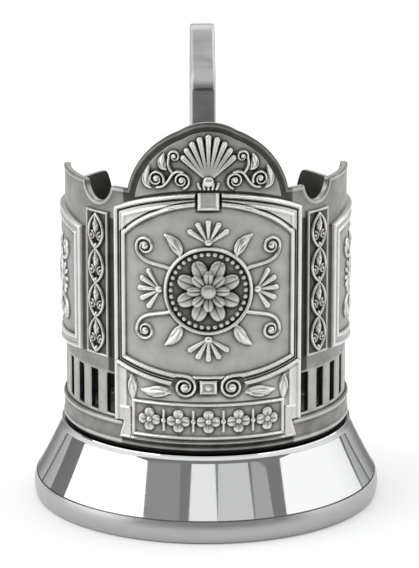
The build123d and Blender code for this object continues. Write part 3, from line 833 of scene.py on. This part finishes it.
def keystone(front, panel_gap):
    """Raised block in the head of the frame, with a shadow line round it."""
    top = FRONT_HIGH + FRONT_CROWN
    gap = rectangle(front.s, front.z, KEY_HALF, top - KEY_HEIGHT, top + 1)
    front.level(np.maximum(gap - KEY_SHADOW, panel_gap), KEY_SHADOW_LEVEL)
    front.level(gap, KEY_STEP)
    front.tint(gap, KEY_TONE)
    front.ridge(-gap, *KEY_BORDER, KEY_STEP)


def apron(front):
    """Two volutes round a tablet, with leaves beside them."""
    nest = np.hypot(np.abs(front.s) - VOLUTE_S, front.z - VOLUTE_Z) - VOLUTE_RADIUS - NEST_MARGIN
    bridge = rectangle(front.s, front.z, VOLUTE_S, VOLUTE_Z - NEST_LOW, VOLUTE_Z + NEST_HIGH)
    nest = np.minimum(nest, bridge)
    front.level(nest, 0.0)
    front.tint(nest, NEST_TONE)
    for side in (1, -1):
        front.volute((side * VOLUTE_S, VOLUTE_Z), side, *VOLUTE)
        front.stroke(placed(VOLUTE_LEAD, VOLUTE_Z, side), *VOLUTE_RIB)
        for curve, *leaf in APRON_LEAVES:
            front.leaf(placed(curve, VOLUTE_Z, side), *leaf)
    tablet = rectangle(front.s, front.z, TABLET_HALF, VOLUTE_Z - TABLET_RISE, VOLUTE_Z + TABLET_RISE)
    front.level(tablet, TABLET_STEP)
    front.ridge(-tablet, *TABLET_BORDER, TABLET_STEP)
    front.bead((0, VOLUTE_Z), *TABLET_BEAD, TABLET_STEP)


def front_cartouche():
    """Frame round the motif, with a keystone in its head and the apron below."""
    front = Relief(FRONT_HALF + FINE, BAND_TOP - FINE, FRONT_HIGH + FRONT_CROWN + FINE, FINE, FRONT_TONE)
    panel_gap = front_panel(front.s, front.z)
    head_gap = arched_panel(front.s, front.z, FIELD_HALF, FRAME_LOW, FRAME_SAG, FIELD_HIGH, FIELD_CROWN)
    apron_gap = np.maximum(np.abs(front.s) - FRONT_HALF, BAND_TOP - front.z)
    front_frame(front, panel_gap, np.maximum(panel_gap + FRAME_WIDTH, head_gap))
    motif(front, (PANEL_LOW + FRONT_HIGH) / 2, 1.0)
    keystone(front, panel_gap)
    apron(front)
    wall_piece("front_cartouche", front, np.where(front.z < APRON_TOP, apron_gap, panel_gap))


# Crest ornament: a palmette between scrolls, with heights above the shoulder
ORNAMENT_HALF, ORNAMENT_LOW, ORNAMENT_BORDER, ORNAMENT_TONE = arc(33), SHOULDER - 5.0, 2.0, 0.49
FAN_HEIGHT, FAN_LEAVES, FAN_SPREAD, FAN_ROOT = 3.2, 9, 46, 1.7
FAN_REACH, FAN_FALL, FAN_POWER, FAN_PETAL, FAN_BEAD = 10.6, 2.4, 1.4, (0.3, 0.8, 0.7), (1.4, 0.9)
REEDS, REED_LOW, REED_HIGH, REED_GATHER, REED_RIB = (-2.4, -1.2, 0.0, 1.2, 2.4), 1.4, 2.6, 0.8, (0.5, 0.55)
SCROLLS = (
    ((6.4, 3.4), 2.0, 250, -1.7, 0.5, 0.75),
    ((12.6, 3.5), 2.0, 200, -1.6, 0.48, 0.75),
    ((8.1, 9.2), 1.4, 0, 1.4, 0.42, 0.7),
)
SCROLL_STEMS = (
    (((6.2, 5.4), (9.4, 6.6), (9.0, 1.4), (12.4, 1.5)), 0.5, 0.65),
    (((8.4, 5.0), (9.8, 6.4), (9.9, 7.6), (9.4, 9.0)), 0.45, 0.6),
)
SCROLL_LEAVES = (
    (((10.1, 6.0), (11.2, 6.6), (11.5, 7.9), (10.6, 9.8)), 1.1, 0.75, 1),
    (((14.0, 1.3), (15.6, 2.2), (15.5, 4.2), (14.3, 6.8)), 1.05, 0.7, 1),
)


def palmette(crest):
    """Fan of petals over a row of reeds."""
    fan = np.array((0, SHOULDER + FAN_HEIGHT))
    for place in np.linspace(-1, 1, FAN_LEAVES):
        lean = radians(FAN_SPREAD * place)
        heading = np.array((sin(lean), cos(lean)))
        reach = FAN_REACH - FAN_FALL * abs(place) ** FAN_POWER
        crest.petal(fan + FAN_ROOT * heading, fan + reach * heading, *FAN_PETAL)
    crest.bead(fan, *FAN_BEAD)
    for place in REEDS:
        reed = ((REED_GATHER * place, SHOULDER + REED_LOW), (place, SHOULDER + REED_HIGH))
        crest.stroke(reed, *REED_RIB)


def front_crest():
    """Ornament inside the border of the crest, down to the head of the front frame."""
    crest = Relief(ORNAMENT_HALF, ORNAMENT_LOW, CREST_TOP, LACE, ORNAMENT_TONE)
    dome_gap = crest_dome(PLATE * np.sin(crest.s / PLATE), crest.z) + ORNAMENT_BORDER
    palmette(crest)
    for side in (1, -1):
        for (across, up), *scroll in SCROLLS:
            crest.volute((side * across, SHOULDER + up), side, *scroll)
        for curve, *stem in SCROLL_STEMS:
            crest.stroke(placed(curve, SHOULDER, side), *stem)
        for curve, *leaf in SCROLL_LEAVES:
            crest.leaf(placed(curve, SHOULDER, side), *leaf)
    wall_piece("front_crest", crest, np.maximum(dome_gap, OVERLAY_GAP - front_panel(crest.s, crest.z)))


# Ribbon across the apron, with tails folded behind it
RIBBON_LOW, RIBBON_HIGH, RIBBON_HALF = BAND_TOP - 3.2, BAND_TOP + 6.4, arc(31.5)
RIBBON_TONE, RIBBON_BORDER = 0.46, (0.65, 0.5, 0.5)
TAIL_LOW, TAIL_HIGH, TAIL_HALF, TAIL_NOTCH = RIBBON_LOW - 1.2, RIBBON_LOW + 7.2, arc(38.0), 1.4
TAIL_LEVEL, TAIL_TONE, TAIL_BORDER = -0.28, 0.12, (0.55, 0.35, 0.16)
FOLD_WIDTH, FOLD_LEVEL, FOLD_CLEAR = 0.45, -0.5, 0.6
BLOOM_PLACES, BLOOM_ROSETTE, BLOOM_BEAD = np.linspace(-14.6, 14.6, 5), (2.9, 4, 0.65, 45), (0.75, 0.8)
BAR_PLACES, BAR_REACH, BAR_RIB, BAR_BEAD = np.linspace(-10.95, 10.95, 4), 2.5, (0.42, 0.45), (0.7, 0.6)


def front_ribbon():
    """Bordered ribbon with a row of flowers and bars, and two notched tails."""
    ribbon = Relief(TAIL_HALF + LACE, TAIL_LOW - LACE, RIBBON_HIGH + LACE, LACE, RIBBON_TONE)
    main_gap = rectangle(ribbon.s, ribbon.z, RIBBON_HALF, RIBBON_LOW, RIBBON_HIGH)
    tail_half = (TAIL_HIGH - TAIL_LOW) / 2
    tail_off = np.abs(ribbon.z - (TAIL_LOW + TAIL_HIGH) / 2)
    tail_end = TAIL_HALF - TAIL_NOTCH * (1 - tail_off / tail_half)
    tail_gap = np.maximum(np.abs(ribbon.s) - tail_end, tail_off - tail_half)
    ribbon.tint(-main_gap, TAIL_TONE)
    ribbon.level(-main_gap, TAIL_LEVEL)
    ribbon.level(np.maximum(main_gap - FOLD_WIDTH, -main_gap), FOLD_LEVEL)
    ribbon.ridge(-main_gap, *RIBBON_BORDER)
    ribbon.ridge(np.where(main_gap > FOLD_CLEAR, -tail_gap, 0), *TAIL_BORDER, TAIL_LEVEL)
    middle = (RIBBON_LOW + RIBBON_HIGH) / 2
    for place in BLOOM_PLACES:
        ribbon.rosette((place, middle), *BLOOM_ROSETTE)
        ribbon.bead((place, middle), *BLOOM_BEAD)
    for place in BAR_PLACES:
        ribbon.stroke(((place, middle - BAR_REACH), (place, middle + BAR_REACH)), *BAR_RIB)
        ribbon.bead((place, middle), *BAR_BEAD)
    wall_piece("front_ribbon", ribbon, np.minimum(main_gap, tail_gap), inner=PLATE - SEAM, outer=RIBBON)


front_cartouche()
front_crest()
front_ribbon()

# Side cartouches, each a frame round a smaller motif
SIDE_ANGLE, SIDE_HALF, SIDE_CROWN, SIDE_SAG = 95.0, arc(36.0), 2.2, 1.4
SIDE_HIGH = FLANK - 2.0 - SIDE_CROWN
SIDE_FRAME, SIDE_FRAME_TONE, SIDE_TONE, SIDE_MOTIF = 3.3, 0.3, 0.5, 0.78


def side_cartouche(name, angle):
    """Panel with a raised frame."""
    low, high = PANEL_LOW - SIDE_SAG - FINE, SIDE_HIGH + SIDE_CROWN + FINE
    panel = Relief(SIDE_HALF + FINE, low, high, FINE, SIDE_TONE)
    gap = arched_panel(panel.s, panel.z, SIDE_HALF, PANEL_LOW, SIDE_SAG, SIDE_HIGH, SIDE_CROWN)
    field_gap = gap + SIDE_FRAME
    panel.level(-field_gap, FRAME_STEP)
    panel.tint(-field_gap, SIDE_FRAME_TONE)
    panel.ridge(-gap, *FRAME_BORDER, FRAME_STEP)
    panel.ridge(-gap, SIDE_FRAME - FRAME_LINE, FRAME_LINE, FRAME_LINE_RISE, FRAME_STEP)
    motif(panel, (PANEL_LOW + SIDE_HIGH) / 2, SIDE_MOTIF)
    wall_piece(name, panel, gap, angle)


side_cartouche("left_cartouche", -SIDE_ANGLE)
side_cartouche("right_cartouche", SIDE_ANGLE)

# Filigree pilasters between the panels, with the angles and heights of the front and rear pairs
PILASTER_HALF, PILASTER_TONE = arc(6.6), 0.66
FRONT_PILASTER = (49.2, SHOULDER - NOTCH_DEPTH - 2.0)
REAR_PILASTER = (141.5, REAR - 2.0)
PILASTER_BORDER, PILASTER_EDGE, PILASTER_EDGE_TONE = (0.45, 0.4, 0.25), 0.9, 0.55
VINE_INSET, VINE_PITCH, VINE_SWAY, VINE_RIB = 1.1, 9.0, 3.4, (0.45, 0.6)
TENDRIL_OUT, TENDRIL_DROP, TENDRIL_VOLUTE = 1.5, 1.2, (1.1, 90, 1.3, 0.32, 0.5)
VINE_LEAF, VINE_LEAF_ROOT, VINE_LEAF_TIP = (1.1, 0.7, 3), 0.2, 0.3
BUD_HEIGHT, BUD_BEAD = 0.9, (0.55, 0.6)


def pilaster(name, angle, high):
    """Strip with a border round a vine of crossing waves, tendrils, leaves and buds."""
    vine = Relief(PILASTER_HALF + LACE, PANEL_LOW - LACE, high + LACE, LACE, PILASTER_TONE)
    gap = rectangle(vine.s, vine.z, PILASTER_HALF, PANEL_LOW, high)
    vine.tint(-gap - PILASTER_EDGE, PILASTER_EDGE_TONE)
    vine.ridge(-gap, *PILASTER_BORDER)
    turns = max(2, round((high - PANEL_LOW) / VINE_PITCH))
    pitch = (high - PANEL_LOW - 2 * VINE_INSET) / turns
    for count in range(turns):
        z = PANEL_LOW + VINE_INSET + pitch * (count + 0.5)
        low, top = z - pitch / 2, z + pitch / 2
        for side in (1, -1):
            sway = side * VINE_SWAY
            vine.stroke(bezier((0, low), (sway, z - pitch / 5), (sway, z + pitch / 5), (0, top)), *VINE_RIB)
            vine.volute((side * TENDRIL_OUT, z - TENDRIL_DROP), side, *TENDRIL_VOLUTE)
        vine.leaf(((0, z - VINE_LEAF_ROOT), (0, top - VINE_LEAF_TIP)), *VINE_LEAF)
        vine.bead((0, low + BUD_HEIGHT), *BUD_BEAD)
    wall_piece(name, vine, gap, angle)


for end, (angle, high) in (("front", FRONT_PILASTER), ("rear", REAR_PILASTER)):
    pilaster(f"{end}_left_pilaster", -angle, high)
    pilaster(f"{end}_right_pilaster", angle, high)

# Handle and thumb plate. Corners of the handle are setbacks from the sleeve and rises above the foot.
HANDLE_WIDTH, HANDLE_THICKNESS, HANDLE_EDGE = 6.5, 2.6, 0.8
UPPER_PAD, STEM_TOP, THUMB_CORNER, GRIP_CORNER = (0, 32.0), (0, 52.0), (4.6, 77.2), (27.0, 90.0)
LIMB, ELBOW, HEEL, FOOT_PAD = (33.0, 68.0), (29.0, 34.0), (14.5, 18.4), (0, 15.2)
THUMB_BEND, GRIP_BEND, BEND_SHARE, BEND_STEP = 4.0, 6.0, 0.45, radians(5)
THUMB_WIDTH, THUMB_THICKNESS, THUMB_EDGE = 5.6, 1.2, 0.4
THUMB_REACH, THUMB_DROP = 17.3, 2.2

# Straps: distance of points, and shares of half the thickness where round ends are cut, with their narrowing
STRAP_STEP = 0.8
CAPS, CAP_NARROWING = np.array((0.35, 0.65, 0.88, 0.985)), 0.12


def rounded(corners, radius, count=5):
    """Closed outline with its corners rounded, as points."""
    corners = np.array(corners, float)
    outline = []
    for before, corner, after in zip(np.roll(corners, 1, 0), corners, np.roll(corners, -1, 0)):
        back = (before - corner) / np.linalg.norm(before - corner)
        onward = (after - corner) / np.linalg.norm(after - corner)
        for t in np.linspace(0, 1, count):
            outline.append(corner + radius * (back * (1 - t) ** 2 + onward * t**2))
    return np.array(outline)


def bent(corners, bends):
    """Route through corners rounded by arcs, of given radii or as easy as their runs allow."""
    route = [corners[0]]
    for index in range(1, len(corners) - 1):
        before, corner, after = corners[index - 1 : index + 2]
        arriving, leaving = corner - before, after - corner
        runs = np.linalg.norm(arriving), np.linalg.norm(leaving)
        arriving, leaving = arriving / runs[0], leaving / runs[1]
        turn = acos(np.clip(arriving @ leaving, -1, 1))
        radius = bends.get(index, BEND_SHARE * min(runs) / tan(turn / 2))
        start = corner - arriving * radius * tan(turn / 2)
        side = np.sign(arriving[0] * leaving[1] - arriving[1] * leaving[0])
        normal = side * np.array((-arriving[1], arriving[0]))
        count = max(3, ceil(turn / BEND_STEP))
        for t in np.linspace(0, turn, count + 1):
            route.append(start + arriving * radius * sin(t) + normal * radius * (1 - cos(t)))
    return np.array(route + [corners[-1]])


def finer(route, step):
    """The same route with points no further apart than a step."""
    fine = [route[:1]]
    for a, b in zip(route, route[1:]):
        count = ceil(np.linalg.norm(b - a) / step)
        fine.append(a + (b - a) * np.linspace(0, 1, count + 1)[1:, None])
    return np.concatenate(fine)


def strap(name, route, width, thickness, edge, tip=0.0):
    """Flat bar along a route in the YZ plane, with rounded edges and ends and a rounded far tip."""
    route = finer(route, STRAP_STEP)
    heading = np.gradient(route, axis=0)
    heading /= np.linalg.norm(heading, axis=1)[:, None]
    half = thickness / 2
    near_cap = route[0] - np.outer(half * CAPS[::-1], heading[0])
    far_cap = route[-1] + np.outer(half * CAPS, heading[-1])
    places = np.concatenate((near_cap, route, far_cap))
    headings = np.pad(heading, ((len(CAPS), len(CAPS)), (0, 0)), mode="edge")
    shrinks = np.concatenate((dome(CAPS)[::-1], np.ones(len(route)), dome(CAPS)))
    left = np.linalg.norm(places - places[-1], axis=1)
    narrow = tip - np.sqrt(np.clip(tip**2 - np.clip(tip - left, 0, tip) ** 2, 0, None))
    flat = rounded(((-width / 2, -half), (width / 2, -half), (width / 2, half), (-width / 2, half)), edge)
    points = []
    for place, ahead, shrink, inset in zip(places, headings, shrinks, narrow):
        up = np.array((-ahead[1], ahead[0]))
        for x, y in flat:
            x *= (1 - CAP_NARROWING * (1 - shrink)) * (1 - 2 * inset / width)
            points.append((x, *(place + up * y * shrink)))
    rows, columns = len(places), len(flat)
    index = np.arange(rows * columns).reshape(rows, columns)
    ahead, around = index[1:], np.roll(index, -1, 1)
    faces = np.stack((ahead, np.roll(ahead, -1, 1), around[:-1], index[:-1]), -1).reshape(-1, 4)
    new_piece(name, points, [faces, index[:1], index[-1:, ::-1]], "satin_metal", STRAP_SHARP)


pad_line = sqrt(SLEEVE**2 - (HANDLE_WIDTH / 2) ** 2) + HANDLE_THICKNESS / 2
foot_end = (0, BAND_TOP + OVERLAY_GAP + HANDLE_THICKNESS / 2 - FOOT_TOP)
handle_corners = [UPPER_PAD, STEM_TOP, THUMB_CORNER, GRIP_CORNER, LIMB, ELBOW, HEEL, FOOT_PAD, foot_end]
handle_corners = np.array(handle_corners) + (pad_line, FOOT_TOP)


def handle():
    """Bent strap with two pads on the back of the sleeve."""
    route = bent(handle_corners, {2: THUMB_BEND, 3: GRIP_BEND})
    strap("handle", route, HANDLE_WIDTH, HANDLE_THICKNESS, HANDLE_EDGE)


def thumb_plate():
    """Plate that lies on the slope of the handle and folds over the bend at its foot."""
    thumb = handle_corners[2]
    stem, slope = (run / np.linalg.norm(run) for run in np.diff(handle_corners[1:4], axis=0))
    normals = np.array(((-stem[1], stem[0]), (-slope[1], slope[0])))
    rise = HANDLE_THICKNESS / 2 - SEAM + THUMB_THICKNESS / 2
    foot = thumb - stem * THUMB_DROP + normals[0] * rise
    fold = thumb + normals.sum(0) * rise / (1 + normals[0] @ normals[1])
    tip = thumb + slope * THUMB_REACH + normals[1] * rise
    route = bent(np.array([foot, fold, tip]), {1: THUMB_BEND + rise})
    strap("thumb_plate", route, THUMB_WIDTH, THUMB_THICKNESS, THUMB_EDGE, THUMB_WIDTH / 3)


handle()
thumb_plate()

# Studio, in metres: a pale floor, a white world, softboxes and the camera
FLOOR_HALF = 3.0
LIGHT_AIM = (0.0, 0.0, 0.05)
CAMERA_PLACE, CAMERA_AIM = (-0.0135, -0.8, 0.2708), (0.0009, 0.0, 0.0535)

# Softboxes: name, azimuth from the front to the right, elevation, distance, size and radiance
SOFTBOXES = (
    ("left_panel", -81.5, 32, 1.2, (1.36, 1.5), 1.75),
    ("right_panel", 95.5, 32, 1.2, (1.54, 1.5), 1.2),
    ("top_panel", 0, 76, 1.9, (2.4, 2.2), 0.68),
    ("back_low", 180, 20, 2.2, (5.7, 1.6), 0.55),
    ("back_high", 180, 50, 2.2, (3.6, 0.9), 1.6),
    ("front_strip", -3, 37, 1.5, (0.445, 0.6), 0.92),
    ("front_fill", 21, 37, 1.5, (0.575, 0.6), 0.57),
    ("front_edge", 41.5, 37, 1.5, (0.295, 0.6), 0.28),
    ("front_shade", -38, 37, 1.5, (0.78, 0.6), 0.12),
)

floor_material, _, floor_shader = metal("studio_white", colour=(0.95, 0.95, 0.95), roughness=0.9)
floor_shader.inputs["Metallic"].default_value = 0.0
floor_shader.inputs["Specular IOR Level"].default_value = 0.1
floor_corners = [(FLOOR_HALF * x, FLOOR_HALF * y, 0) for x, y in ((-1, -1), (1, -1), (1, 1), (-1, 1))]
floor_mesh = bpy.data.meshes.new("floor")
floor_mesh.from_pydata(floor_corners, [], [(0, 1, 2, 3)])
floor_mesh.materials.append(floor_material)
floor = linked("floor", floor_mesh)

world = bpy.data.worlds.new("studio")
bpy.context.scene.world = world
world.use_nodes = True
world.node_tree.nodes["Background"].inputs["Color"].default_value = (1, 1, 1, 1)
world.node_tree.nodes["Background"].inputs["Strength"].default_value = 0.28

for name, azimuth, elevation, distance, size, radiance in SOFTBOXES:
    turn, rise = radians(azimuth), radians(elevation)
    away = Vector((sin(turn) * cos(rise), -cos(turn) * cos(rise), sin(rise)))
    light = bpy.data.lights.new(name, "AREA")
    light.shape = "RECTANGLE"
    light.size, light.size_y = size
    light.energy = radiance * pi * size[0] * size[1]
    lamp = linked(name, light)
    lamp.location = Vector(LIGHT_AIM) + away * distance
    lamp.rotation_euler = (-away).to_track_quat("-Z", "Y").to_euler()

camera_data = bpy.data.cameras.new("camera")
camera_data.sensor_fit = "VERTICAL"
camera_data.sensor_height = 36.0
camera_data.lens = 210.4
camera_data.clip_start = 0.01
camera = linked("camera", camera_data)
camera.location = CAMERA_PLACE
camera.rotation_euler = (Vector(CAMERA_AIM) - Vector(CAMERA_PLACE)).to_track_quat("-Z", "Y").to_euler()
bpy.context.scene.camera = camera
bpy.context.scene.view_settings.view_transform = "Standard"
